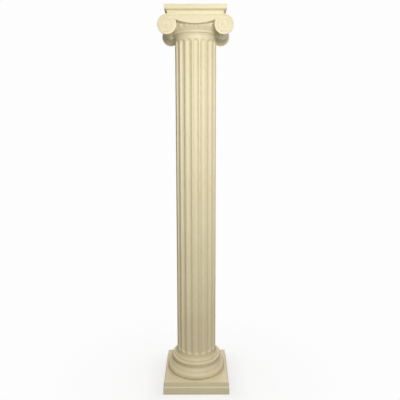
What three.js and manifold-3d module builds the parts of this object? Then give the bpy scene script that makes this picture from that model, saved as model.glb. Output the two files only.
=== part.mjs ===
// A moulded Ionic column in four pieces: a square plinth, a round base, a fluted shaft and a capital.
// Millimetres, +Z up, with the origin under the middle of the plinth. The volute faces look along -Y and +Y.
import * as THREE from "three";
import { mergeVertices } from "three/addons/utils/BufferGeometryUtils.js";
import Module from "manifold-3d";

// Gap left between two pieces that touch, the reach of one joined form into the next, and the distance
// within which two corners are one
const JOINT = 0.3;
const BITE = 2;
const WELD = 1e-3;

// Shaft
const SHAFT_FOOT_RADIUS = 115.5;
const SHAFT_TOP_RADIUS = 112;
const FLUTED_LENGTH = 1774;
const FLUTE_COUNT = 18;
const FLUTE_TURN = THREE.MathUtils.degToRad(1);
const FILLET_WIDTH = 7.5;
const FLUTE_DEPTH = 10.5;
const FLUTE_STEPS = 4;
const FLUTE_END_SHARES = [0, 0.45, 0.8, 1];
const COVE_STEPS = 3;
const FOOT_FILLET_HEIGHT = 7;
const FOOT_FILLET_PROJECTION = 14.5;
const FOOT_COVE_HEIGHT = 23;
const FOOT_PLAIN_HEIGHT = 5.9;
const NECK_PLAIN_HEIGHT = 10;
const NECK_COVE_HEIGHT = 12;
const NECK_PROJECTION = 5;
const NECK_FILLET_HEIGHT = 5;

// Round base, from the foot of the shaft out and down: upper torus, fillet, scotia, fillet, lower torus
const UPPER_TORUS_HEIGHT = 20;
const UPPER_TORUS_PROJECTION = 16;
const UPPER_FILLET_HEIGHT = 4;
const UPPER_FILLET_INSET = 6;
const SCOTIA_HEIGHT = 26;
const SCOTIA_DEPTH = 7;
const LOWER_FILLET_HEIGHT = 6;
const LOWER_FILLET_INSET = 19;
const LOWER_TORUS_HEIGHT = 37;
const LOWER_TORUS_STEP_OUT = 25;
const BASE_STEPS = 36;
const TORUS_STEPS = 6;

// Square plinth: a lower slab, a sloping ledge and a slightly smaller upper slab
const PLINTH_MARGIN = 13;
const PLINTH_LEDGE = 6.5;
const PLINTH_LEDGE_RISE = 3;
const PLINTH_LOWER_HEIGHT = 42;
const PLINTH_UPPER_HEIGHT = 29;
const PLINTH_EDGE = 1.2;

// Capital: echinus, cushion, four volutes joined front to back by two bolsters, and a square abacus
const BELL_HEIGHT = 78.4;
const ECHINUS_LIP = 3;
const BEAD_HEIGHT = 10;
const BEAD_PROJECTION = 7;
const ECHINUS_PROJECTION = 33;
const ECHINUS_HEIGHT = 42;
const ECHINUS_BULGE = 4;
const ECHINUS_STEPS = 5;
const BEAD_STEPS = 3;
const EGG_COUNT = 28;
const EGG_WIDTH = 24;
const EGG_HEIGHT = 26;
const EGG_RELIEF = 3;
const EGG_SIDES = 6;
const EGG_ROWS = 3;
const BOLSTER_WAIST_RADIUS = 25;
const BOLSTER_CLEARANCE = 2.3;
const BOLSTER_BELT_RADIUS = 32;
const BOLSTER_BELT_LENGTH = 140;
const BOLSTER_BELT_EDGE = 3;
const VOLUTE_RADIUS = 48.7;
const VOLUTE_RIM = 14;
const VOLUTE_EDGE = 1.5;
const VOLUTE_EYE_RADIUS = 7;
const SPIRAL_TURNS = 2;
const SPIRAL_WIDTH = 6;
const SPIRAL_RELIEF = 2.4;
const SPIRAL_SINK = 0.6;
const SPIRAL_STEPS_A_TURN = 12;
const FACE_PROUD = 12;
const CANALIS_MIDDLE = 46;
const CANALIS_END = 24;
const CANALIS_BORDER = 5;
const CANALIS_STEPS = 12;
const ABACUS_PAST_EYE = 14.7;
const ABACUS_BAND_HEIGHT = 7;
const ABACUS_BAND_INSET = 15.5;
const ABACUS_COVE_HEIGHT = 17.5;
const ABACUS_OVOLO_HEIGHT = 8.5;
const ABACUS_OVOLO_PROJECTION = 8;
const ABACUS_FILLET_HEIGHT = 17;
const ROUND_STEPS = 20;

// Heights and radii that follow from the sizes above
const plinthHeight = PLINTH_LOWER_HEIGHT + PLINTH_LEDGE_RISE + PLINTH_UPPER_HEIGHT;
const footRadius = SHAFT_FOOT_RADIUS + FOOT_FILLET_PROJECTION;
const upperTorusRadius = footRadius + UPPER_TORUS_PROJECTION;
const lowerTorusRadius = upperTorusRadius + LOWER_TORUS_STEP_OUT;
const plinthTopHalf = lowerTorusRadius + PLINTH_MARGIN;
const baseBottom = plinthHeight + JOINT;
const baseTop =
  baseBottom + LOWER_TORUS_HEIGHT + LOWER_FILLET_HEIGHT + SCOTIA_HEIGHT + UPPER_FILLET_HEIGHT +
  UPPER_TORUS_HEIGHT;
const shaftBottom = baseTop + JOINT;
const flutesBottom = shaftBottom + FOOT_FILLET_HEIGHT + FOOT_COVE_HEIGHT + FOOT_PLAIN_HEIGHT;
const flutesTop = flutesBottom + FLUTED_LENGTH;
const shaftTop = flutesTop + NECK_PLAIN_HEIGHT + NECK_COVE_HEIGHT + NECK_FILLET_HEIGHT;
const neckRadius = SHAFT_TOP_RADIUS + NECK_PROJECTION;
const capitalBottom = shaftTop + JOINT;
const lipRadius = neckRadius + ECHINUS_LIP;
const beadTop = new THREE.Vector2(lipRadius + BEAD_PROJECTION, capitalBottom + BEAD_HEIGHT);
const echinusTop = new THREE.Vector2(beadTop.x + ECHINUS_PROJECTION, beadTop.y + ECHINUS_HEIGHT);
const abacusBottom = capitalBottom + BELL_HEIGHT;
const eyeOut = neckRadius + BOLSTER_WAIST_RADIUS + BOLSTER_CLEARANCE;
const eyeHeight = abacusBottom - VOLUTE_RADIUS;
const abacusHalf = eyeOut + ABACUS_PAST_EYE;
const faceOut = abacusHalf + FACE_PROUD;
const canalisEnd = eyeOut - VOLUTE_RADIUS * Math.SQRT1_2;

const wasm = await Module();
wasm.setup();

// A closed geometry as a solid that can be joined and cut. Triangles that shrank to a line are dropped.
function solidOf(geometry) {
  const bare = new THREE.BufferGeometry();
  bare.setAttribute("position", geometry.getAttribute("position"));
  bare.setIndex(geometry.index);
  const welded = mergeVertices(bare, WELD);
  const corners = welded.index.array;
  const kept = [];
  for (let i = 0; i < corners.length; i += 3) {
    const [a, b, c] = corners.slice(i, i + 3);
    if (a !== b && b !== c && c !== a) kept.push(a, b, c);
  }
  const vertProperties = welded.getAttribute("position").array;
  return new wasm.Manifold(new wasm.Mesh({ numProp: 3, vertProperties, triVerts: new Uint32Array(kept) }));
}

function geometryOf(solid) {
  const { vertProperties, triVerts } = solid.getMesh();
  const geometry = new THREE.BufferGeometry();
  geometry.setAttribute("position", new THREE.BufferAttribute(vertProperties, 3));
  geometry.setIndex(new THREE.BufferAttribute(triVerts, 1));
  return geometry;
}

const join = (solids) => solids.reduce((sum, next) => sum.add(next));

// Points of a quarter of an ellipse from one corner to the other. It leaves start along the radius
// when outFirst is true, and along the height when it is false. Points are (radius, height).
function quarter(start, end, outFirst, steps) {
  const points = [];
  for (let i = 0; i <= steps; i++) {
    const angle = (i / steps) * (Math.PI / 2);
    const [out, up] = outFirst
      ? [Math.sin(angle), 1 - Math.cos(angle)]
      : [1 - Math.cos(angle), Math.sin(angle)];
    const x = start.x + (end.x - start.x) * out;
    const y = start.y + (end.y - start.y) * up;
    points.push(new THREE.Vector2(x, y));
  }
  return points;
}

// Points of a curve that bows sideways by depth between two points at different heights.
function bowed(start, end, depth, steps) {
  const points = [];
  for (let i = 0; i <= steps; i++) {
    const share = i / steps;
    const point = start.clone().lerp(end, share);
    point.x += depth * Math.sin(share * Math.PI);
    points.push(point);
  }
  return points;
}

const at = (radius, height) => new THREE.Vector2(radius, height);

// A profile turned round the upright axis. Four steps give a square body of the profile's half widths.
function turned(profile, steps) {
  return new THREE.LatheGeometry(profile, steps).rotateX(Math.PI / 2);
}

function squared(profile) {
  const corners = profile.map((point) => at(point.x * Math.SQRT2, point.y));
  return new THREE.LatheGeometry(corners, 4, Math.PI / 4).rotateX(Math.PI / 2);
}

function plinth() {
  const foot = plinthTopHalf + PLINTH_LEDGE;
  const ledge = PLINTH_LOWER_HEIGHT + PLINTH_LEDGE_RISE;
  return squared([
    at(0, 0),
    at(foot, 0),
    at(foot, PLINTH_LOWER_HEIGHT - PLINTH_EDGE),
    at(foot - PLINTH_EDGE, PLINTH_LOWER_HEIGHT),
    at(plinthTopHalf, ledge),
    at(plinthTopHalf, plinthHeight - PLINTH_EDGE),
    at(plinthTopHalf - PLINTH_EDGE, plinthHeight),
    at(0, plinthHeight),
  ]);
}

// Half round of a torus, from its underside up to its top.
function torus(radius, bottom, height) {
  const half = height / 2;
  const under = quarter(at(radius - half, bottom), at(radius, bottom + half), true, TORUS_STEPS / 2);
  const over = quarter(at(radius, bottom + half), at(radius - half, bottom + height), false, TORUS_STEPS / 2);
  return [...under, ...over.slice(1)];
}

function base() {
  const lowerFillet = baseBottom + LOWER_TORUS_HEIGHT;
  const scotia = lowerFillet + LOWER_FILLET_HEIGHT;
  const upperFillet = scotia + SCOTIA_HEIGHT;
  const upperTorus = upperFillet + UPPER_FILLET_HEIGHT;
  const lowerFilletRadius = lowerTorusRadius - LOWER_FILLET_INSET;
  const upperFilletRadius = upperTorusRadius - UPPER_FILLET_INSET;
  return turned(
    [
      at(0, baseBottom),
      ...torus(lowerTorusRadius, baseBottom, LOWER_TORUS_HEIGHT),
      at(lowerFilletRadius, lowerFillet),
      ...bowed(at(lowerFilletRadius, scotia), at(upperFilletRadius, upperFillet), -SCOTIA_DEPTH, TORUS_STEPS),
      at(upperFilletRadius, upperTorus),
      ...torus(upperTorusRadius, upperTorus, UPPER_TORUS_HEIGHT),
      at(0, baseTop),
    ],
    BASE_STEPS,
  );
}

// The levels of the shaft from its foot up: height, radius and how open the flutes are, from 0 to 1.
function shaftLevels() {
  const levels = [];
  const add = (height, radius, open) => levels.push({ height, radius, open });
  const footCove = quarter(
    at(footRadius, shaftBottom + FOOT_FILLET_HEIGHT),
    at(SHAFT_FOOT_RADIUS, flutesBottom - FOOT_PLAIN_HEIGHT),
    true,
    COVE_STEPS,
  );
  const neckCove = quarter(
    at(SHAFT_TOP_RADIUS, flutesTop + NECK_PLAIN_HEIGHT),
    at(neckRadius, shaftTop - NECK_FILLET_HEIGHT),
    false,
    COVE_STEPS,
  );
  const pitch = (2 * Math.PI * SHAFT_FOOT_RADIUS) / FLUTE_COUNT;
  const round = (pitch - FILLET_WIDTH) / 2;
  add(shaftBottom, footRadius, 0);
  footCove.forEach((point) => add(point.y, point.x, 0));
  for (const open of FLUTE_END_SHARES) {
    const rise = round * (1 - Math.sqrt(1 - open * open));
    add(flutesBottom + rise, SHAFT_FOOT_RADIUS, open);
  }
  for (const open of FLUTE_END_SHARES.toReversed()) {
    const drop = round * (1 - Math.sqrt(1 - open * open));
    add(flutesTop - drop, SHAFT_TOP_RADIUS, open);
  }
  neckCove.forEach((point) => add(point.y, point.x, 0));
  add(shaftTop, neckRadius, 0);
  return levels;
}

// The ring of points at one level. Where the flutes are shut the points spread evenly round the circle.
function shaftRing({ height, radius, open }) {
  const pitch = (2 * Math.PI) / FLUTE_COUNT;
  const fillet = FILLET_WIDTH / SHAFT_FOOT_RADIUS;
  const plainHalf = (pitch / 2) * (FLUTE_STEPS / (FLUTE_STEPS + 1));
  const fluteHalf = (pitch - fillet) / 2;
  const half = open ? fluteHalf * open : plainHalf;
  const points = [];
  for (let flute = 0; flute < FLUTE_COUNT; flute++) {
    for (let step = 0; step <= FLUTE_STEPS; step++) {
      const across = Math.PI * (step / FLUTE_STEPS - 0.5);
      const share = open ? Math.sin(across) : (2 * step) / FLUTE_STEPS - 1;
      const reach = radius - FLUTE_DEPTH * open * Math.cos(across);
      const angle = FLUTE_TURN + flute * pitch + half * share - Math.PI / 2;
      points.push(reach * Math.cos(angle), reach * Math.sin(angle), height);
    }
  }
  return points;
}

function shaft() {
  const levels = shaftLevels();
  const around = FLUTE_COUNT * (FLUTE_STEPS + 1);
  const places = levels.flatMap(shaftRing);
  const faces = [];
  for (let level = 0; level + 1 < levels.length; level++) {
    for (let i = 0; i < around; i++) {
      const here = level * around + i;
      const next = level * around + ((i + 1) % around);
      faces.push(here, next, next + around, here, next + around, here + around);
    }
  }
  const bottom = places.length / 3;
  const top = bottom + 1;
  const lastRing = (levels.length - 1) * around;
  places.push(0, 0, shaftBottom, 0, 0, shaftTop);
  for (let i = 0; i < around; i++) {
    const next = (i + 1) % around;
    faces.push(bottom, next, i, top, lastRing + i, lastRing + next);
  }
  const geometry = new THREE.BufferGeometry();
  geometry.setAttribute("position", new THREE.Float32BufferAttribute(places, 3));
  geometry.setIndex(faces);
  return geometry;
}

// The round bell under the cushion: a quarter bead on the neck, then a swelling flare.
function echinus() {
  const profile = [
    at(0, capitalBottom),
    ...quarter(at(lipRadius, capitalBottom), beadTop, true, BEAD_STEPS),
    ...bowed(beadTop, echinusTop, ECHINUS_BULGE, ECHINUS_STEPS).slice(1),
    at(echinusTop.x, abacusBottom),
    at(0, abacusBottom),
  ];
  return turned(profile, EGG_COUNT);
}

// The ring of eggs carved on the echinus.
function eggs() {
  const middle = beadTop.clone().lerp(echinusTop, 0.5);
  const lean = Math.atan2(ECHINUS_PROJECTION, ECHINUS_HEIGHT);
  const solids = [];
  for (let i = 0; i < EGG_COUNT; i++) {
    const egg = new THREE.SphereGeometry(1, EGG_SIDES, EGG_ROWS);
    egg.scale(EGG_RELIEF + BITE, EGG_HEIGHT / 2, EGG_WIDTH / 2);
    egg.rotateZ(-lean);
    egg.translate(middle.x + ECHINUS_BULGE - BITE, 0, 0);
    egg.rotateX(Math.PI / 2);
    egg.rotateZ(((i + 0.5) / EGG_COUNT) * 2 * Math.PI - Math.PI / 2);
    egg.translate(0, 0, middle.y);
    solids.push(solidOf(egg));
  }
  return solids;
}

// An outline in the plane of the volute faces, pushed from one distance along Y to another.
function pushed(outline, from, to) {
  const settings = { depth: to - from, bevelEnabled: false };
  return new THREE.ExtrudeGeometry(new THREE.Shape(outline), settings)
    .rotateX(Math.PI / 2)
    .translate(0, to, 0);
}

// Points along the lower edge of the canalis, raised by rise.
function canalisPoints(rise) {
  const points = [];
  for (let i = 0; i <= CANALIS_STEPS; i++) {
    const share = (2 * i) / CANALIS_STEPS - 1;
    const height = abacusBottom - CANALIS_MIDDLE + (CANALIS_MIDDLE - CANALIS_END) * share * share;
    points.push(at(canalisEnd * share, height + rise));
  }
  return points;
}

// The cushion between the volutes, whose underside sags along the canalis.
function cushion() {
  const side = at(eyeOut, eyeHeight + BOLSTER_WAIST_RADIUS - BITE);
  const top = at(eyeOut, abacusBottom + BITE);
  const outline = [...canalisPoints(0), side, top, at(-top.x, top.y), at(-side.x, side.y)];
  return pushed(outline, -faceOut, faceOut);
}

// The raised border along the lower edge of the canalis, on the front (-1) or the back (1).
function canalisBorder(side) {
  const outline = [...canalisPoints(0), ...canalisPoints(CANALIS_BORDER).toReversed()];
  const near = side * (faceOut - BITE);
  const far = side * (faceOut + SPIRAL_RELIEF);
  return pushed(outline, Math.min(near, far), Math.max(near, far));
}

// One bolster: two volute discs joined by a turned body that narrows to a waist beside the belt round it.
function bolster(side) {
  const rimInner = faceOut - VOLUTE_RIM;
  const beltEnd = BOLSTER_BELT_LENGTH / 2;
  const waist = at(BOLSTER_WAIST_RADIUS, beltEnd);
  const back = [
    at(BOLSTER_BELT_RADIUS, beltEnd - BOLSTER_BELT_EDGE),
    ...quarter(waist, at(VOLUTE_RADIUS, rimInner), false, COVE_STEPS),
    at(VOLUTE_RADIUS, faceOut - VOLUTE_EDGE),
    at(VOLUTE_RADIUS - VOLUTE_EDGE, faceOut),
    at(0, faceOut),
  ];
  const front = back.map((point) => at(point.x, -point.y)).toReversed();
  return new THREE.LatheGeometry([...front, ...back], ROUND_STEPS).translate(side * eyeOut, 0, eyeHeight);
}

// The spiral on one volute face: a low ridge that winds in from the rim to the eye, then the eye itself.
// It runs over the top of the volute and away from the middle of the capital first.
function spiral(side, facing) {
  const steps = Math.round(SPIRAL_TURNS * SPIRAL_STEPS_A_TURN);
  const start = VOLUTE_RADIUS - VOLUTE_EDGE - SPIRAL_WIDTH / 2;
  const end = VOLUTE_EYE_RADIUS;
  const places = [];
  const faces = [];
  for (let i = 0; i <= steps; i++) {
    const angle = Math.PI / 2 - (i / SPIRAL_STEPS_A_TURN) * 2 * Math.PI;
    const radius = start + (end - start) * (i / steps);
    const section = [
      [-SPIRAL_WIDTH / 2, -SPIRAL_SINK],
      [SPIRAL_WIDTH / 2, -SPIRAL_SINK],
      [0, SPIRAL_RELIEF],
    ];
    for (const [across, rise] of section) {
      const reach = radius + across;
      places.push(reach * Math.cos(angle), rise, reach * Math.sin(angle));
    }
    if (i === 0) continue;
    for (let corner = 0; corner < 3; corner++) {
      const here = 3 * (i - 1) + corner;
      const next = 3 * (i - 1) + ((corner + 1) % 3);
      faces.push(here, here + 3, next, next, here + 3, next + 3);
    }
  }
  const last = 3 * steps;
  faces.push(0, 1, 2, last, last + 2, last + 1);
  const ridge = new THREE.BufferGeometry();
  ridge.setAttribute("position", new THREE.Float32BufferAttribute(places, 3));
  ridge.setIndex(faces);
  const eye = new THREE.CylinderGeometry(
    VOLUTE_EYE_RADIUS - SPIRAL_WIDTH / 4,
    VOLUTE_EYE_RADIUS + SPIRAL_WIDTH / 4,
    SPIRAL_SINK + SPIRAL_RELIEF,
    ROUND_STEPS / 2,
  ).translate(0, (SPIRAL_RELIEF - SPIRAL_SINK) / 2, 0);
  return [ridge, eye].map((geometry) => placedOnFace(geometry, side, facing));
}

// Moves a form made for the right volute of the back face to another volute. A mirrored form keeps its
// faces outward by turning each triangle round.
function placedOnFace(geometry, side, facing) {
  geometry.scale(side, facing, 1);
  if (side * facing < 0) {
    const corners = geometry.index.array;
    for (let i = 0; i < corners.length; i += 3) {
      [corners[i + 1], corners[i + 2]] = [corners[i + 2], corners[i + 1]];
    }
  }
  return geometry.translate(side * eyeOut, facing * faceOut, eyeHeight);
}

function abacus() {
  const cove = abacusBottom + ABACUS_BAND_HEIGHT;
  const ovolo = cove + ABACUS_COVE_HEIGHT;
  const fillet = ovolo + ABACUS_OVOLO_HEIGHT;
  const top = fillet + ABACUS_FILLET_HEIGHT;
  const bandHalf = abacusHalf - ABACUS_BAND_INSET;
  const ovoloHalf = abacusHalf - ABACUS_OVOLO_PROJECTION;
  return squared([
    at(0, abacusBottom - BITE),
    at(bandHalf, abacusBottom - BITE),
    at(bandHalf, cove),
    ...quarter(at(bandHalf, cove), at(ovoloHalf, ovolo), false, COVE_STEPS).slice(1),
    ...quarter(at(ovoloHalf, ovolo), at(abacusHalf, fillet), true, COVE_STEPS).slice(1),
    at(abacusHalf, top),
    at(0, top),
  ]);
}

// Room for the neck of the shaft below the joint, so that nothing of the capital reaches into it.
function neckRoom() {
  const below = capitalBottom - 2 * VOLUTE_RADIUS;
  const radius = neckRadius + JOINT;
  return turned([at(0, below), at(radius, below), at(radius, capitalBottom), at(0, capitalBottom)], EGG_COUNT);
}

function capital() {
  const forms = [echinus(), cushion(), abacus()];
  for (const side of [-1, 1]) {
    forms.push(bolster(side), canalisBorder(side));
    for (const facing of [-1, 1]) forms.push(...spiral(side, facing));
  }
  const whole = join([...forms.map(solidOf), ...eggs()]);
  return geometryOf(whole.subtract(solidOf(neckRoom())));
}

// Cream moulded finish, a little deeper towards the foot of the column
function cream(colour) {
  return new THREE.MeshStandardMaterial({ color: colour, roughness: 0.5, metalness: 0 });
}

function piece(name, geometry, colour) {
  const mesh = new THREE.Mesh(geometry, cream(colour));
  mesh.name = name;
  return mesh;
}

const column = new THREE.Group();
column.add(
  piece("plinth", plinth(), 0xcdbf98),
  piece("base", base(), 0xd3c59d),
  piece("shaft", shaft(), 0xe3d8b2),
  piece("capital", capital(), 0xefe6c4),
);

export default column;
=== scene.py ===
import math

import bmesh
import bpy
from mathutils import Matrix, Vector


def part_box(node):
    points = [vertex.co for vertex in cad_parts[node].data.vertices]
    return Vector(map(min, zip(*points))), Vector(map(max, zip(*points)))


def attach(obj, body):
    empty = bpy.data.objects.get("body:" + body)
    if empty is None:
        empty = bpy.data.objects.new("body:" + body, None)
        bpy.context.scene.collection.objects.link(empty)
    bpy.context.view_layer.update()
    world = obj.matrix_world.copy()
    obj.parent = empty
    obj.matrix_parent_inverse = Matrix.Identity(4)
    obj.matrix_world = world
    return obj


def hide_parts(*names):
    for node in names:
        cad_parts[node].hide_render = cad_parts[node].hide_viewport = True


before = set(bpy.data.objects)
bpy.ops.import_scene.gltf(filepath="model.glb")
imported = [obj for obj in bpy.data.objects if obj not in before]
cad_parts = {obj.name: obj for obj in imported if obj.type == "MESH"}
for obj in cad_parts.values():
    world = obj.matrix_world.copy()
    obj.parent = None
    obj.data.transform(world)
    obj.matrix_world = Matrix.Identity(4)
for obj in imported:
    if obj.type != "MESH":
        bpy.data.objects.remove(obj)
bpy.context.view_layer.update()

MM = 0.001
QUARTER_TURN = math.pi / 2
FULL_TURN = 2 * math.pi

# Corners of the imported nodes' boxes
plinth_low, plinth_high = (Vector(corner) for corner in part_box("plinth"))
base_low, base_high = (Vector(corner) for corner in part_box("base"))
shaft_low, shaft_high = (Vector(corner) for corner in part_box("shaft"))
capital_high = Vector(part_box("capital")[1])


# Camera

CAMERA_DISTANCE = 2.447
CAMERA_HEIGHT = 1.5315
CAMERA_PITCH = math.radians(9.81)
CAMERA_YAW = math.radians(-0.53)
CAMERA_ROLL = math.radians(-0.06)
CAMERA_ROUND = math.radians(0.4)
FOCAL_PIXELS = 430
IMAGE_PIXELS = 400
SENSOR_MM = 36


def make_camera():
    data = bpy.data.cameras.new("camera")
    data.sensor_width = SENSOR_MM
    data.lens = SENSOR_MM * FOCAL_PIXELS / IMAGE_PIXELS
    camera = bpy.data.objects.new("camera", data)
    camera.location = (
        CAMERA_DISTANCE * math.sin(CAMERA_ROUND),
        -CAMERA_DISTANCE * math.cos(CAMERA_ROUND),
        CAMERA_HEIGHT,
    )
    aim = (
        Matrix.Rotation(CAMERA_YAW + CAMERA_ROUND, 4, "Z")
        @ Matrix.Rotation(QUARTER_TURN - CAMERA_PITCH, 4, "X")
        @ Matrix.Rotation(CAMERA_ROLL, 4, "Z")
    )
    camera.rotation_euler = aim.to_euler()
    bpy.context.collection.objects.link(camera)
    bpy.context.scene.camera = camera


# Mesh helpers

CORNER_STEPS = 3
CORNER_REACH = 0.45  # largest share of a straight run that a rounded corner takes
CORNER_SHARPEST = math.radians(150)
UPRIGHT_EDGE_STEPS = 4
RIDGE_STEPS = 6
CAP_SHARE = 0.5  # radius at which the flat ends of a turned form start, as a share of the outer one
SMOOTH_UNDER = math.radians(38)


def new_object(name, points, faces):
    mesh = bpy.data.meshes.new(name)
    mesh.from_pydata([tuple(point) for point in points], [], faces)
    mesh.update()
    obj = bpy.data.objects.new(name, mesh)
    bpy.context.collection.objects.link(obj)
    return obj


def at(radius, height):
    return Vector((radius, height))


def corner_arc(before, corner, after, radius):
    """Points of an arc that rounds the corner between two straight runs."""
    to_before, to_after = (before - corner), (after - corner)
    half_angle = to_before.angle(to_after) / 2
    reach = min(
        radius / math.tan(half_angle),
        CORNER_REACH * to_before.length,
        CORNER_REACH * to_after.length,
    )
    start = corner + to_before.normalized() * reach
    end = corner + to_after.normalized() * reach
    return [
        start * (1 - t) ** 2 + corner * 2 * t * (1 - t) + end * t ** 2
        for t in (i / CORNER_STEPS for i in range(CORNER_STEPS + 1))
    ]


def softened(points, radius, sharpest=CORNER_SHARPEST):
    """The same outline with its sharp corners rounded. Shallow corners of a curve stay as they are."""
    result = [points[0]]
    for before, corner, after in zip(points, points[1:], points[2:]):
        if (before - corner).angle(after - corner, math.pi) < sharpest:
            result += corner_arc(before, corner, after, radius)
        else:
            result.append(corner)
    return [*result, points[-1]]


def quarter(start, end, out_first, steps):
    """A quarter of an ellipse between two profile points, leaving start outwards or upwards."""
    points = []
    for i in range(steps + 1):
        angle = i / steps * QUARTER_TURN
        if out_first:
            share = at(math.sin(angle), 1 - math.cos(angle))
        else:
            share = at(1 - math.cos(angle), math.sin(angle))
        points.append(start + (end - start) * share)
    return points


def rings_to_mesh(name, rings, first, last):
    """A closed skin over rings of points, with a fan on the first and the last point."""
    around = len(rings[0])
    points = [point for ring in rings for point in ring]
    faces = []
    for row in range(len(rings) - 1):
        for i in range(around):
            a, b = row * around + i, row * around + (i + 1) % around
            faces.append((a, b, b + around, a + around))
    low, high = len(points), len(points) + 1
    points += [first, last]
    top_row = (len(rings) - 1) * around
    for i in range(around):
        j = (i + 1) % around
        faces.append((low, j, i))
        faces.append((high, top_row + i, top_row + j))
    return new_object(name, points, faces)


def turned(name, profile, steps):
    """A profile of (radius, height), from the bottom up, turned round the upright axis."""
    rings = []
    for point in profile:
        ring = []
        for i in range(steps):
            angle = FULL_TURN * i / steps
            ring.append(Vector((point.x * math.cos(angle), point.x * math.sin(angle), point.y)))
        rings.append(ring)
    return rings_to_mesh(name, rings, Vector((0, 0, profile[0].y)), Vector((0, 0, profile[-1].y)))


def squared(name, profile, corner_radius):
    """A profile of (half width, height) run round a square with slightly rounded upright edges."""
    rings = []
    for point in profile:
        inner = point.x - corner_radius
        ring = []
        for corner in range(4):
            turn = QUARTER_TURN * (corner + 0.5)
            centre = Vector((math.cos(turn), math.sin(turn), 0)) * inner * math.sqrt(2)
            for i in range(UPRIGHT_EDGE_STEPS + 1):
                angle = QUARTER_TURN * (corner + i / UPRIGHT_EDGE_STEPS)
                edge = Vector((math.cos(angle), math.sin(angle), 0)) * corner_radius
                ring.append(centre + edge + Vector((0, 0, point.y)))
        rings.append(ring)
    return rings_to_mesh(name, rings, Vector((0, 0, profile[0].y)), Vector((0, 0, profile[-1].y)))


def swept(name, path, width, relief, sink, facing):
    """A low rounded ridge along a path of (x, z) points on a plane that faces along -Y or +Y."""
    rings = []
    last_index = len(path) - 1
    for i, point in enumerate(path):
        ahead = path[min(i + 1, last_index)] - path[max(i - 1, 0)]
        side = Vector((-ahead.y, ahead.x)).normalized()
        half = side * (width / 2)
        ring = []
        for j in range(RIDGE_STEPS + 1):
            across = math.pi * j / RIDGE_STEPS
            ring.append((point + half * math.cos(across), relief * math.sin(across)))
        ring += [(point - half, -sink), (point + half, -sink)]
        rings.append([Vector((p.x, rise * facing, p.y)) for p, rise in ring])
    first = sum(rings[0], Vector()) / len(rings[0])
    last = sum(rings[-1], Vector()) / len(rings[-1])
    return rings_to_mesh(name, rings, first, last)


def face_outwards(obj):
    """Turns every face of a closed form outwards."""
    work = bmesh.new()
    work.from_mesh(obj.data)
    bmesh.ops.recalc_face_normals(work, faces=work.faces)
    work.to_mesh(obj.data)
    work.free()


def joined(name, objects):
    """One object from several that stand apart, with their faces turned outwards."""
    work = bmesh.new()
    for obj in objects:
        face_outwards(obj)
        work.from_mesh(obj.data)
        bpy.data.objects.remove(obj)
    mesh = bpy.data.meshes.new(name)
    work.to_mesh(mesh)
    work.free()
    result = bpy.data.objects.new(name, mesh)
    bpy.context.collection.objects.link(result)
    return result


def united(target, other):
    """Adds the second closed form to the first as one skin."""
    face_outwards(target)
    face_outwards(other)
    modifier = target.modifiers.new("unite", "BOOLEAN")
    modifier.operation = "UNION"
    modifier.solver = "MANIFOLD"
    modifier.object = other
    graph = bpy.context.evaluated_depsgraph_get()
    mesh = bpy.data.meshes.new_from_object(target.evaluated_get(graph))
    target.modifiers.clear()
    target.data = mesh
    bpy.data.objects.remove(other)
    return target


def smooth(obj):
    """Smooth shading, except across edges that turn by more than SMOOTH_UNDER."""
    mesh = obj.data
    mesh.polygons.foreach_set("use_smooth", [True] * len(mesh.polygons))
    mesh.set_sharp_from_angle(angle=SMOOTH_UNDER)


# Plinth: two square slabs with a sloping ledge between them

PLINTH_LEDGE = 6.5 * MM
PLINTH_LOWER_HEIGHT = 42 * MM
PLINTH_LEDGE_RISE = 3 * MM
PLINTH_SOFT = 1.6 * MM


def make_plinth():
    foot = plinth_high.x
    upper = foot - PLINTH_LEDGE
    top = plinth_high.z
    profile = [
        at(foot, plinth_low.z),
        at(foot, PLINTH_LOWER_HEIGHT),
        at(upper, PLINTH_LOWER_HEIGHT + PLINTH_LEDGE_RISE),
        at(upper, top),
        at(upper * CAP_SHARE, top),
    ]
    return squared("plinth_slab", softened(profile, PLINTH_SOFT), PLINTH_SOFT)


# Round base: lower torus, fillet, scotia, fillet, upper torus

LOWER_TORUS_HEIGHT = 37 * MM
LOWER_FILLET_INSET = 19 * MM
LOWER_FILLET_HEIGHT = 6 * MM
SCOTIA_HEIGHT = 26 * MM
SCOTIA_DEPTH = 7 * MM
UPPER_FILLET_INSET = 6 * MM
UPPER_FILLET_HEIGHT = 4 * MM
TORUS_STEP_IN = 25 * MM
BASE_SOFT = 2.2 * MM
BASE_SHARPEST = math.radians(140)
BASE_SEGMENTS = 160
TORUS_STEPS = 12
SCOTIA_STEPS = 16


def half_round(radius, bottom, height):
    half = height / 2
    under = quarter(at(radius - half, bottom), at(radius, bottom + half), True, TORUS_STEPS)
    over = quarter(at(radius, bottom + half), at(radius - half, bottom + height), False, TORUS_STEPS)
    return [*under, *over[1:]]


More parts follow.
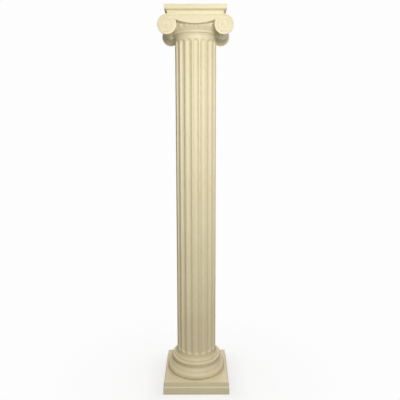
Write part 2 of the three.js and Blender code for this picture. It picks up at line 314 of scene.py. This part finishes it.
def make_base():
    lower = base_high.x
    upper = lower - TORUS_STEP_IN
    lower_fillet = base_low.z + LOWER_TORUS_HEIGHT
    scotia = lower_fillet + LOWER_FILLET_HEIGHT
    upper_fillet = scotia + SCOTIA_HEIGHT
    upper_torus = upper_fillet + UPPER_FILLET_HEIGHT
    low_point = at(lower - LOWER_FILLET_INSET, scotia)
    high_point = at(upper - UPPER_FILLET_INSET, upper_fillet)
    hollow = []
    for i in range(SCOTIA_STEPS + 1):
        point = low_point.lerp(high_point, i / SCOTIA_STEPS)
        point.x -= SCOTIA_DEPTH * math.sin(math.pi * i / SCOTIA_STEPS)
        hollow.append(point)
    profile = [
        at(lower * CAP_SHARE, base_low.z),
        *half_round(lower, base_low.z, LOWER_TORUS_HEIGHT),
        at(low_point.x, lower_fillet),
        *hollow,
        at(high_point.x, upper_torus),
        *half_round(upper, upper_torus, base_high.z - upper_torus),
        at(upper * CAP_SHARE, base_high.z),
    ]
    return turned("base_moulding", softened(profile, BASE_SOFT, BASE_SHARPEST), BASE_SEGMENTS)


# Fluted shaft

SHAFT_FOOT_RADIUS = 115.5 * MM
SHAFT_TOP_RADIUS = 112 * MM
FLUTE_COUNT = 18
FLUTE_TURN = math.radians(1)
FLUTE_PITCH = FULL_TURN / FLUTE_COUNT
ARRIS_WIDTH = 7.5 * MM
FLUTE_DEPTH = 10.5 * MM
FLUTE_STEPS = 14
PLAIN_STEPS = 5
FOOT_FILLET = 7 * MM
FOOT_COVE = 23 * MM
FOOT_PLAIN = 5.9 * MM
NECK_PLAIN = 10 * MM
NECK_COVE = 12 * MM
NECK_FILLET = 5 * MM
NECK_PROJECTION = 5 * MM
FOOT_COVE_STEP = 1.2 * MM
NECK_COVE_STEP = 1 * MM
SHAFT_SOFT = 0.8 * MM
FLUTE_END_STEPS = 9
FLUTE_END_START = 0.04  # share of its rounded end at which a flute starts to open
STRAIGHT_STEPS = 24
COVE_STEPS = 8


def flute_section(open_share):
    """Angle and depth of the points across one flute and the plain strip beside it."""
    full_half = (FLUTE_PITCH - ARRIS_WIDTH / SHAFT_FOOT_RADIUS) / 2
    half = full_half * open_share
    chord = full_half * SHAFT_FOOT_RADIUS
    circle = (chord ** 2 + FLUTE_DEPTH ** 2) / (2 * FLUTE_DEPTH)
    spread = math.asin(chord / circle)
    points = []
    for i in range(FLUTE_STEPS + 1):
        angle = spread * (2 * i / FLUTE_STEPS - 1)
        depth = (circle * math.cos(angle) - circle + FLUTE_DEPTH) * open_share ** 2
        points.append((half * math.sin(angle) / math.sin(spread), depth))
    plain = FLUTE_PITCH - 2 * half
    for i in range(1, PLAIN_STEPS):
        points.append((half + plain * i / PLAIN_STEPS, 0.0))
    return points


def plain_section():
    """As many points as flute_section has, evenly spaced and not sunk."""
    count = FLUTE_STEPS + PLAIN_STEPS
    return [(FLUTE_PITCH * (i / count - 0.5), 0.0) for i in range(count)]


def flute_end_levels(end, inwards, radius):
    """Levels through the rounded end of the flutes, from the end inwards (1 is up, -1 down)."""
    round_half = (FLUTE_PITCH * SHAFT_FOOT_RADIUS - ARRIS_WIDTH) / 2
    levels = []
    for i in range(FLUTE_END_STEPS + 1):
        angle = (FLUTE_END_START + (1 - FLUTE_END_START) * i / FLUTE_END_STEPS) * QUARTER_TURN
        height = end + inwards * round_half * (1 - math.cos(angle))
        levels.append((height, radius, flute_section(math.sin(angle))))
    return levels


def make_shaft():
    foot_radius = shaft_high.x
    foot_fillet = shaft_low.z + FOOT_FILLET
    foot_plain = foot_fillet + FOOT_COVE
    flutes_bottom = foot_plain + FOOT_PLAIN
    neck_radius = SHAFT_TOP_RADIUS + NECK_PROJECTION
    neck_fillet = shaft_high.z - NECK_FILLET
    neck_plain = neck_fillet - NECK_COVE
    flutes_top = neck_plain - NECK_PLAIN
    foot_cove = at(foot_radius - FOOT_COVE_STEP, foot_fillet)
    foot = [
        at(foot_radius * CAP_SHARE, shaft_low.z),
        at(foot_radius, shaft_low.z),
        at(foot_radius, foot_fillet),
        *quarter(foot_cove, at(SHAFT_FOOT_RADIUS, foot_plain), True, COVE_STEPS),
    ]
    neck_cove = at(neck_radius - NECK_COVE_STEP, neck_fillet)
    neck = [
        at(SHAFT_TOP_RADIUS, (flutes_top + neck_plain) / 2),
        *quarter(at(SHAFT_TOP_RADIUS, neck_plain), neck_cove, False, COVE_STEPS),
        at(neck_radius, neck_fillet),
        at(neck_radius, shaft_high.z),
        at(neck_radius * CAP_SHARE, shaft_high.z),
    ]
    low_ends = flute_end_levels(flutes_bottom, 1, SHAFT_FOOT_RADIUS)
    high_ends = flute_end_levels(flutes_top, -1, SHAFT_TOP_RADIUS)[::-1]
    low, high = low_ends[-1][0], high_ends[0][0]
    straight = []
    for i in range(1, STRAIGHT_STEPS):
        share = i / STRAIGHT_STEPS
        radius = SHAFT_FOOT_RADIUS + (SHAFT_TOP_RADIUS - SHAFT_FOOT_RADIUS) * share
        straight.append((low + (high - low) * share, radius, flute_section(1.0)))
    plain = plain_section()
    levels = [
        *((point.y, point.x, plain) for point in softened(foot, SHAFT_SOFT)),
        *low_ends,
        *straight,
        *high_ends,
        *((point.y, point.x, plain) for point in softened(neck, SHAFT_SOFT)),
    ]
    rings = []
    for height, radius, section in levels:
        ring = []
        for flute in range(FLUTE_COUNT):
            for turn, depth in section:
                angle = FLUTE_TURN + FLUTE_PITCH * flute + turn - QUARTER_TURN
                reach = radius - depth
                ring.append(Vector((reach * math.cos(angle), reach * math.sin(angle), height)))
        rings.append(ring)
    return rings_to_mesh(
        "shaft_fluted", rings, Vector((0, 0, shaft_low.z)), Vector((0, 0, shaft_high.z))
    )


# Capital

ABACUS_HEIGHT = 50 * MM
ABACUS_HALF = 159 * MM
ABACUS_BAND_INSET = 15.5 * MM
ABACUS_BAND_HEIGHT = 7 * MM
ABACUS_COVE_HEIGHT = 17.5 * MM
ABACUS_OVOLO_HEIGHT = 8.5 * MM
ABACUS_OVOLO_PROJECTION = 8 * MM
ABACUS_SOFT = 1.2 * MM
ABACUS_COVE_STEPS = 10
ABACUS_OVOLO_STEPS = 8
VOLUTE_RADIUS = 48.7 * MM
VOLUTE_RIM = 14 * MM
FACE_PROUD = 12 * MM
JOINT = 0.3 * MM
NECK_RADIUS = SHAFT_TOP_RADIUS + NECK_PROJECTION
ECHINUS_LIP = 3 * MM
BEAD_HEIGHT = 10 * MM
BEAD_PROJECTION = 7 * MM
ECHINUS_PROJECTION = 33 * MM
ECHINUS_HEIGHT = 42 * MM
ECHINUS_BULGE = 4 * MM
ECHINUS_SOFT = 1.5 * MM
BEAD_STEPS = 8
ECHINUS_STEPS = 16
ECHINUS_SEGMENTS = 168
EGG_COUNT = 28
EGG_WIDTH = 24 * MM
EGG_WIDTH_SHARE = 0.72  # share of its width that is raised, the rest being the gap to the next egg
EGG_HEIGHT = 25 * MM
EGG_RELIEF = 2.4 * MM
EGG_SINK = 2 * MM
EGG_TAPER = 0.18
EGG_SEGMENTS = 16
EGG_ROWS = 10
WAIST_RADIUS = 25 * MM
BELT_RADIUS = 32 * MM
BELT_LENGTH = 140 * MM
BELT_EDGE = 3 * MM
BOLSTER_SOFT = 2 * MM
FLARE_STEPS = 14
BOLSTER_SEGMENTS = 96
BITE = 2 * MM
CUSHION_SOFT = 1.2 * MM
CANALIS_MIDDLE = 46 * MM
CANALIS_END = 24 * MM
CANALIS_STEPS = 40
SPIRAL_TURNS = 2
SPIRAL_STEPS_A_TURN = 48
SPIRAL_WIDTH = 6 * MM
SPIRAL_RELIEF = 2.4 * MM
SPIRAL_SINK = 2 * MM
SPIRAL_EDGE = 1.5 * MM
RUN_STEPS = 12
BORDER_RISE = 0.6 * SPIRAL_WIDTH
BORDER_STEPS = 10
EYE_RADIUS = 7 * MM
EYE_FOOT_RADIUS = 9 * MM
EYE_TOP_RADIUS = 1 * MM
EYE_RELIEF = 3.4 * MM
EYE_STEPS = 8
EYE_SEGMENTS = 32

echinus_bottom = shaft_high.z + JOINT
lip_radius = NECK_RADIUS + ECHINUS_LIP
abacus_bottom = capital_high.z - ABACUS_HEIGHT
eye_out = capital_high.x - VOLUTE_RADIUS
eye_height = abacus_bottom - VOLUTE_RADIUS
face_out = ABACUS_HALF + FACE_PROUD
canalis_end = eye_out - VOLUTE_RADIUS * math.sqrt(0.5)
spiral_start = VOLUTE_RADIUS - SPIRAL_EDGE - SPIRAL_WIDTH / 2


def make_abacus():
    cove = abacus_bottom + ABACUS_BAND_HEIGHT
    ovolo = cove + ABACUS_COVE_HEIGHT
    fillet = ovolo + ABACUS_OVOLO_HEIGHT
    band = ABACUS_HALF - ABACUS_BAND_INSET
    ledge = ABACUS_HALF - ABACUS_OVOLO_PROJECTION
    profile = [
        at(band * CAP_SHARE, abacus_bottom - BITE),
        at(band, abacus_bottom - BITE),
        *quarter(at(band, cove), at(ledge, ovolo), False, ABACUS_COVE_STEPS),
        *quarter(at(ledge, ovolo), at(ABACUS_HALF, fillet), True, ABACUS_OVOLO_STEPS)[1:],
        at(ABACUS_HALF, capital_high.z),
        at(ABACUS_HALF * CAP_SHARE, capital_high.z),
    ]
    return squared("abacus", softened(profile, ABACUS_SOFT), ABACUS_SOFT)


def canalis_curve(rise):
    """The sagging lower edge of the channel between the volutes, raised by a distance."""
    points = []
    for i in range(CANALIS_STEPS + 1):
        share = 2 * i / CANALIS_STEPS - 1
        height = abacus_bottom - CANALIS_MIDDLE + (CANALIS_MIDDLE - CANALIS_END) * share ** 2
        points.append(at(canalis_end * share, height + rise))
    return points


def make_cushion():
    """The block between the volutes, with its sagging underside."""
    side, top = eye_height + WAIST_RADIUS - BITE, abacus_bottom + BITE
    outline = [
        *canalis_curve(0),
        at(eye_out, side),
        at(eye_out, top),
        at(-eye_out, top),
        at(-eye_out, side),
    ]
    middle = at(0, (side + top) / 2)
    soft = CUSHION_SOFT
    edge_out = face_out - soft
    rings = []
    for y, inset in ((-face_out, soft), (-edge_out, 0), (edge_out, 0), (face_out, soft)):
        ring = []
        for point in outline:
            inward = (middle - point).normalized() * inset
            ring.append(Vector((point.x + inward.x, y, point.y + inward.y)))
        rings.append(ring)
    front, back = Vector((0, -face_out, middle.y)), Vector((0, face_out, middle.y))
    return rings_to_mesh("cushion", rings, front, back)


def make_bolster(side):
    """Two volute discs on a turned body, narrowest on each side of the belt round its middle."""
    rim_inner = face_out - VOLUTE_RIM
    belt_end = BELT_LENGTH / 2
    half = [
        at(BELT_RADIUS, 0),
        at(BELT_RADIUS, belt_end - BELT_EDGE),
        *quarter(at(WAIST_RADIUS, belt_end), at(VOLUTE_RADIUS, rim_inner), False, FLARE_STEPS),
        at(VOLUTE_RADIUS, face_out),
        at(VOLUTE_RADIUS * CAP_SHARE, face_out),
    ]
    half = softened(half, BOLSTER_SOFT)
    profile = [at(point.x, -point.y) for point in reversed(half)] + half[1:]
    bolster = turned("bolster", profile, BOLSTER_SEGMENTS)
    bolster.data.transform(Matrix.Rotation(-QUARTER_TURN, 4, "X"))
    bolster.data.transform(Matrix.Translation((side * eye_out, 0, eye_height)))
    return bolster


def spiral_path(side):
    """From the middle of the canalis along its upper edge, over the volute and in to the eye."""
    edge = abacus_bottom - SPIRAL_EDGE - SPIRAL_WIDTH / 2
    path = [at(side * eye_out * i / RUN_STEPS, edge) for i in range(RUN_STEPS)]
    steps = SPIRAL_STEPS_A_TURN * SPIRAL_TURNS
    for i in range(steps + 1):
        share = i / steps
        angle = QUARTER_TURN - FULL_TURN * SPIRAL_TURNS * share
        radius = spiral_start + (EYE_RADIUS - spiral_start) * share
        out = eye_out + radius * math.cos(angle)
        path.append(at(side * out, eye_height + radius * math.sin(angle)))
    return path


def lower_border_path(side):
    """Along the lower edge of the canalis, and on to meet the spiral's second turn over the eye."""
    half = [point for point in canalis_curve(BORDER_RISE) if point.x >= 0]
    pitch = (spiral_start - EYE_RADIUS) / SPIRAL_TURNS
    goal = at(eye_out, eye_height + spiral_start - pitch)
    last = half[-1]
    for i in range(1, BORDER_STEPS + 1):
        share = i / BORDER_STEPS
        ease = share * share * (3 - 2 * share)
        half.append(at(last.x + (goal.x - last.x) * share, last.y + (goal.y - last.y) * ease))
    return [at(side * point.x, point.y) for point in half]


def make_face_relief():
    """The raised spirals with their eyes and the borders of the canalis, front and back."""
    eye_profile = [
        at(EYE_FOOT_RADIUS, -SPIRAL_SINK),
        *quarter(at(EYE_FOOT_RADIUS, 0), at(EYE_TOP_RADIUS, EYE_RELIEF), False, EYE_STEPS),
    ]
    pieces = []
    for facing in (-1, 1):
        for side in (-1, 1):
            for path in (spiral_path(side), lower_border_path(side)):
                ridge = swept("ridge", path, SPIRAL_WIDTH, SPIRAL_RELIEF, SPIRAL_SINK, facing)
                ridge.data.transform(Matrix.Translation((0, facing * face_out, 0)))
                pieces.append(ridge)
            eye = turned("eye", eye_profile, EYE_SEGMENTS)
            eye.data.transform(Matrix.Rotation(-facing * QUARTER_TURN, 4, "X"))
            eye.data.transform(Matrix.Translation((side * eye_out, facing * face_out, eye_height)))
            pieces.append(eye)
    return pieces


def echinus_point(share):
    """A point on the swelling flare of the echinus, from the bead (0) to its top (1)."""
    bow = ECHINUS_BULGE * math.sin(share * math.pi)
    out = lip_radius + BEAD_PROJECTION + ECHINUS_PROJECTION * share + bow
    return at(out, echinus_bottom + BEAD_HEIGHT + ECHINUS_HEIGHT * share)


def make_echinus():
    profile = [
        at(lip_radius * CAP_SHARE, echinus_bottom),
        *quarter(at(lip_radius, echinus_bottom), echinus_point(0), True, BEAD_STEPS)[:-1],
        *[echinus_point(i / ECHINUS_STEPS) for i in range(ECHINUS_STEPS + 1)],
        at(echinus_point(1).x, abacus_bottom),
        at(lip_radius * CAP_SHARE, abacus_bottom),
    ]
    return turned("echinus", softened(profile, ECHINUS_SOFT), ECHINUS_SEGMENTS)


def make_eggs():
    """Low ovals round the middle of the echinus, wider at the top and sunk into it."""
    centre = echinus_point(0.5)
    lean = math.atan2(ECHINUS_PROJECTION, ECHINUS_HEIGHT)
    half_depth = EGG_RELIEF + EGG_SINK
    half_width = EGG_WIDTH_SHARE * EGG_WIDTH / 2
    pieces = []
    for i in range(EGG_COUNT):
        turn = FULL_TURN * (i + 0.5) / EGG_COUNT - QUARTER_TURN
        place = (
            Matrix.Rotation(turn, 4, "Z")
            @ Matrix.Translation((centre.x - EGG_SINK, 0, centre.y))
            @ Matrix.Rotation(lean, 4, "Y")
        )
        egg_mesh = bpy.data.meshes.new("egg")
        work = bmesh.new()
        bmesh.ops.create_uvsphere(work, u_segments=EGG_SEGMENTS, v_segments=EGG_ROWS, radius=1)
        for vertex in work.verts:
            x, y, z = vertex.co
            taper = 1 + EGG_TAPER * z
            vertex.co = (x * half_depth * taper, y * half_width * taper, z * EGG_HEIGHT / 2)
        work.transform(place)
        work.to_mesh(egg_mesh)
        work.free()
        egg = bpy.data.objects.new("egg", egg_mesh)
        bpy.context.collection.objects.link(egg)
        pieces.append(egg)
    return pieces


def make_capital():
    capital = make_echinus()
    capital = united(capital, joined("eggs", make_eggs()))
    capital = united(capital, make_cushion())
    capital = united(capital, make_abacus())
    for side in (-1, 1):
        capital = united(capital, make_bolster(side))
    for piece in make_face_relief():
        capital = united(capital, piece)
    capital.name = "capital_carved"
    return capital


# Materials: the moulding's colours are multiplied, so the mottle and the painted shade in the recesses
# are shares of the tone

TONE_SCALE = 3.5
TONE_STOPS = [(0.3, (0.80, 0.715, 0.475)), (0.7, (0.845, 0.765, 0.53))]
MOTTLE_SCALE = 38
MOTTLE_STOPS = [(0.35, (0.95, 0.94, 0.92)), (0.65, (1, 1, 1))]
MOTTLE_AMOUNT = 0.6
# Painted shade: pointiness darkens and warms the colour in the recesses, where shade falls; sharp outer
# edges come out a little lighter and cooler.
HOLLOW_SHADE_AND_EDGE_STOPS = [(0.4, (0.8, 0.72, 0.58)), (0.5, (1, 1, 1)), (0.6, (1.05, 1.05, 1.07))]
HOLLOW_SHADE_AMOUNT = 0.45
ROUGH_SCALE = 12
ROUGH_LEAST = 0.42
ROUGH_MOST = 0.6
PORE_SCALE = 220
PORE_STRENGTH = 0.12
PORE_DEPTH = 0.6 * MM
CREAM_SPECULAR = 0.4

BACKGROUND = 0.985
FLOOR_COLOUR = (0.76, 0.82, 0.88)
FLOOR_ROUGHNESS = 0.9
FLOOR_SPECULAR = 0.1
FLOOR_GLOW = 0.6
# Painted shadow: the floor's glow at the plinth's sides, and how far out it rises back to FLOOR_GLOW.
FLOOR_PAINTED_SHADOW = 0.53
FLOOR_PAINTED_SHADOW_REACH = 0.13
FLOOR_FADE_START = 0.2
FLOOR_FADE_END = 1.1
WHITE = (1, 1, 1, 1)


def cream_material():
    """Satin cream moulding: cloudy tone, faint pores, painted shade darkening the recesses, and sharp
    outer edges a little lighter.
    """
    material = bpy.data.materials.new("cream_moulding")
    material.use_nodes = True
    nodes, links = material.node_tree.nodes, material.node_tree.links
    shader = nodes["Principled BSDF"]
    place = nodes.new("ShaderNodeTexCoord")

    def noise(scale, detail, roughness=0.5):
        node = nodes.new("ShaderNodeTexNoise")
        node.inputs["Scale"].default_value = scale
        node.inputs["Detail"].default_value = detail
        node.inputs["Roughness"].default_value = roughness
        links.new(place.outputs["Object"], node.inputs["Vector"])
        return node.outputs["Fac"]

    def ramp(value, stops):
        node = nodes.new("ShaderNodeValToRGB")
        elements = node.color_ramp.elements
        while len(elements) < len(stops):
            elements.new(0.5)
        for element, (position, colour) in zip(elements, stops):
            element.position = position
            element.color = (*colour, 1)
        links.new(value, node.inputs["Fac"])
        return node.outputs["Color"]

    def multiplied(first, second, amount):
        node = nodes.new("ShaderNodeMix")
        node.data_type = "RGBA"
        node.blend_type = "MULTIPLY"
        factor, colour_a, colour_b = (node.inputs[i] for i in (0, 6, 7))
        factor.default_value = amount
        links.new(first, colour_a)
        links.new(second, colour_b)
        return node.outputs[2]

    tone = ramp(noise(TONE_SCALE, 4), TONE_STOPS)
    mottle = ramp(noise(MOTTLE_SCALE, 6, 0.6), MOTTLE_STOPS)
    # Painted shade in the recesses, read from the mesh's pointiness.
    geometry = nodes.new("ShaderNodeNewGeometry")
    painted_hollow_shade = ramp(geometry.outputs["Pointiness"], HOLLOW_SHADE_AND_EDGE_STOPS)
    colour = multiplied(multiplied(tone, mottle, MOTTLE_AMOUNT), painted_hollow_shade, HOLLOW_SHADE_AMOUNT)
    links.new(colour, shader.inputs["Base Color"])
    rough = nodes.new("ShaderNodeMapRange")
    rough.inputs["To Min"].default_value = ROUGH_LEAST
    rough.inputs["To Max"].default_value = ROUGH_MOST
    links.new(noise(ROUGH_SCALE, 5), rough.inputs["Value"])
    links.new(rough.outputs["Result"], shader.inputs["Roughness"])
    bump = nodes.new("ShaderNodeBump")
    bump.inputs["Strength"].default_value = PORE_STRENGTH
    bump.inputs["Distance"].default_value = PORE_DEPTH
    links.new(noise(PORE_SCALE, 4, 0.6), bump.inputs["Height"])
    links.new(bump.outputs["Normal"], shader.inputs["Normal"])
    shader.inputs["Specular IOR Level"].default_value = CREAM_SPECULAR
    return material


def glow(nodes):
    node = nodes.new("ShaderNodeEmission")
    node.inputs["Color"].default_value = WHITE
    node.inputs["Strength"].default_value = BACKGROUND
    return node.outputs[0]


def floor_material():
    """Pale floor with a painted shadow close to the plinth, that turns into an even white away from it.
    """
    material = bpy.data.materials.new("floor")
    material.use_nodes = True
    nodes, links = material.node_tree.nodes, material.node_tree.links
    shader = nodes["Principled BSDF"]
    shader.inputs["Base Color"].default_value = (*FLOOR_COLOUR, 1)
    shader.inputs["Roughness"].default_value = FLOOR_ROUGHNESS
    shader.inputs["Specular IOR Level"].default_value = FLOOR_SPECULAR
    shader.inputs["Emission Color"].default_value = WHITE
    place = nodes.new("ShaderNodeTexCoord").outputs["Object"]

    def vector_step(operation, vector, value=None):
        node = nodes.new("ShaderNodeVectorMath")
        node.operation = operation
        links.new(vector, node.inputs[0])
        if value:
            node.inputs[1].default_value = value
        return node.outputs["Value" if operation == "LENGTH" else "Vector"]

    half = plinth_high.x
    beside = vector_step("SUBTRACT", vector_step("ABSOLUTE", place), (half, half, 0))
    from_plinth = vector_step("LENGTH", vector_step("MAXIMUM", beside, (0, 0, 0)))
    # Painted shadow: the floor glows less the closer it is to the plinth's sides.
    painted_shadow = nodes.new("ShaderNodeMapRange")
    painted_shadow.inputs["From Max"].default_value = FLOOR_PAINTED_SHADOW_REACH
    painted_shadow.inputs["To Min"].default_value = FLOOR_PAINTED_SHADOW
    painted_shadow.inputs["To Max"].default_value = FLOOR_GLOW
    links.new(from_plinth, painted_shadow.inputs["Value"])
    links.new(painted_shadow.outputs["Result"], shader.inputs["Emission Strength"])
    fade = nodes.new("ShaderNodeMapRange")
    fade.interpolation_type = "SMOOTHSTEP"
    fade.inputs["From Min"].default_value = FLOOR_FADE_START
    fade.inputs["From Max"].default_value = FLOOR_FADE_END
    links.new(vector_step("LENGTH", place), fade.inputs["Value"])
    mix = nodes.new("ShaderNodeMixShader")
    links.new(fade.outputs["Result"], mix.inputs[0])
    links.new(shader.outputs[0], mix.inputs[1])
    links.new(glow(nodes), mix.inputs[2])
    links.new(mix.outputs[0], nodes["Material Output"].inputs["Surface"])
    return material


# Stage and light

STAGE_RADIUS = 9
STAGE_SEGMENTS = 48
STAGE_ROWS = 24
AMBIENT_LEVEL = 0.13
AMBIENT_BELOW = 0.45
AMBIENT_ABOVE = 0.65
AMBIENT_COLOUR = (1, 0.925, 0.87)
LAMP_COLOUR = (0.96, 1, 1.01)


def make_floor():
    """A round floor in a white dome. The light that they would throw back comes from the world."""
    floor_profile = [at(STAGE_RADIUS / 2, plinth_low.z), at(STAGE_RADIUS, plinth_low.z)]
    floor = turned("floor", floor_profile, STAGE_SEGMENTS)
    floor.data.materials.append(floor_material())
    floor.visible_diffuse = False
    floor.visible_glossy = False
    dome = bpy.data.meshes.new("backdrop")
    work = bmesh.new()
    bmesh.ops.create_uvsphere(
        work, u_segments=STAGE_SEGMENTS, v_segments=STAGE_ROWS, radius=STAGE_RADIUS
    )
    work.to_mesh(dome)
    work.free()
    backdrop = bpy.data.objects.new("backdrop", dome)
    bpy.context.collection.objects.link(backdrop)
    plain = bpy.data.materials.new("backdrop")
    plain.use_nodes = True
    nodes, links = plain.node_tree.nodes, plain.node_tree.links
    links.new(glow(nodes), nodes["Material Output"].inputs["Surface"])
    dome.materials.append(plain)
    backdrop.visible_diffuse = False
    backdrop.visible_glossy = False
    backdrop.visible_shadow = False


def area_light(name, place, target, size, power):
    data = bpy.data.lights.new(name, "AREA")
    data.color = LAMP_COLOUR
    data.shape = "RECTANGLE"
    data.size, data.size_y = size
    data.energy = power
    light = bpy.data.objects.new(name, data)
    light.location = place
    light.rotation_euler = (Vector(target) - Vector(place)).to_track_quat("-Z", "Y").to_euler()
    bpy.context.collection.objects.link(light)


def make_lights():
    """Soft light from above and below through the world, a lamp in front and a weaker one behind."""
    world = bpy.data.worlds.new("studio")
    world.use_nodes = True
    nodes, links = world.node_tree.nodes, world.node_tree.links
    place = nodes.new("ShaderNodeTexCoord")
    split = nodes.new("ShaderNodeSeparateXYZ")
    links.new(place.outputs["Generated"], split.inputs[0])
    lower = nodes.new("ShaderNodeMapRange")
    lower.inputs["From Min"].default_value = -1
    lower.inputs["From Max"].default_value = 0
    lower.inputs["To Min"].default_value = AMBIENT_BELOW
    lower.inputs["To Max"].default_value = AMBIENT_LEVEL
    upper = nodes.new("ShaderNodeMapRange")
    upper.inputs["To Max"].default_value = AMBIENT_ABOVE - AMBIENT_LEVEL
    strength = nodes.new("ShaderNodeMath")
    strength.operation = "ADD"
    for number, half in enumerate((lower, upper)):
        links.new(split.outputs["Z"], half.inputs["Value"])
        links.new(half.outputs["Result"], strength.inputs[number])
    links.new(strength.outputs[0], nodes["Background"].inputs["Strength"])
    nodes["Background"].inputs["Color"].default_value = (*AMBIENT_COLOUR, 1)
    bpy.context.scene.world = world
    area_light("key", place=(0.35, -2.2, 2.0), target=(0, 0, 1.75), size=(0.7, 0.6), power=36)
    area_light("back fill", place=(0.3, 2.6, 1.8), target=(0, 0, 1.5), size=(1.2, 1.0), power=16)
    bpy.context.scene.view_settings.view_transform = "Standard"


# The column

make_camera()
finish = cream_material()
parts = {
    "plinth": make_plinth(),
    "base": make_base(),
    "shaft": make_shaft(),
    "capital": make_capital(),
}
for node, piece in parts.items():
    face_outwards(piece)
    smooth(piece)
    piece.data.materials.clear()
    piece.data.materials.append(finish)
    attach(piece, "root")
    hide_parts(node)
make_floor()
make_lights()
